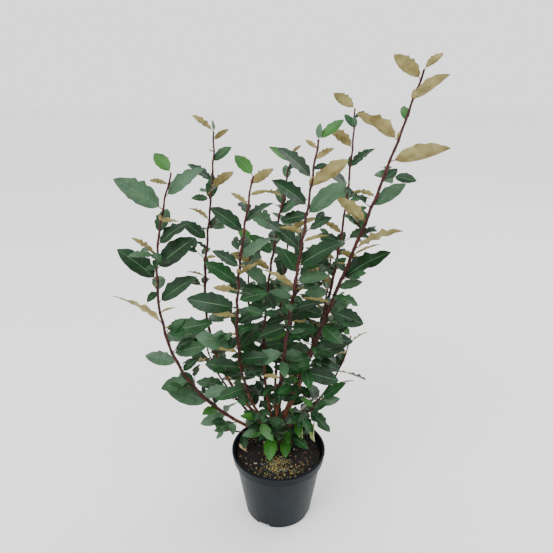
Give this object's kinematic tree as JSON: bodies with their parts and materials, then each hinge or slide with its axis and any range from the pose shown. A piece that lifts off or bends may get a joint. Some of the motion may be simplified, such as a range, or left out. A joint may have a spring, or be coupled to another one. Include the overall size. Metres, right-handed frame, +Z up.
{
  "type": "potted evergreen shrub",
  "caption": "Young evergreen silverberry shrub with upright leafy shoots from one short stool, in a round tapered black nursery pot.",
  "frame": {"origin": "centre of the pot's flat underside", "axes": "+Z up along the pot's axis, +Y away from the front that the picture shows, +X to that view's right"},
  "size_m": [0.5018, 0.3156, 0.8025],
  "materials": {
    "pot_plastic": "satin black polypropylene with dust and a little algae",
    "potting_mix": "moist peat and bark crumbs with fertiliser grains",
    "bark": "young red-brown bark, fine lengthwise wrinkles",
    "leaf": "leathery green leaf, silvery buff beneath"
  },
  "bodies": {
    "root": {"pot": "pot_plastic", "soil": "potting_mix", "trunk": "bark", "bough_tall_right": "bark", "bough_front_middle": "bark", "bough_far_left": "bark", "bough_front_left": "bark", "bough_back_left": "bark", "bough_back_middle": "bark", "bough_back_right": "bark", "bough_rear_middle": "bark", "bough_rear_left": "bark", "bough_rear_tall": "bark", "bough_rear_right": "bark", "bough_low_rear_left": "bark", "bough_low_rear_right": "bark", "foliage_tall_right": "leaf", "foliage_front_middle": "leaf", "foliage_far_left": "leaf", "foliage_front_left": "leaf", "foliage_back_left": "leaf", "foliage_back_middle": "leaf", "foliage_back_right": "leaf", "foliage_rear_middle": "leaf", "foliage_rear_left": "leaf", "foliage_rear_tall": "leaf", "foliage_rear_right": "leaf", "foliage_low_rear_left": "leaf", "foliage_low_rear_right": "leaf", "foliage_low_front": "leaf", "foliage_low_left": "leaf", "foliage_low_right": "leaf", "foliage_low_sprig": "leaf"}
  },
  "joints": []
}
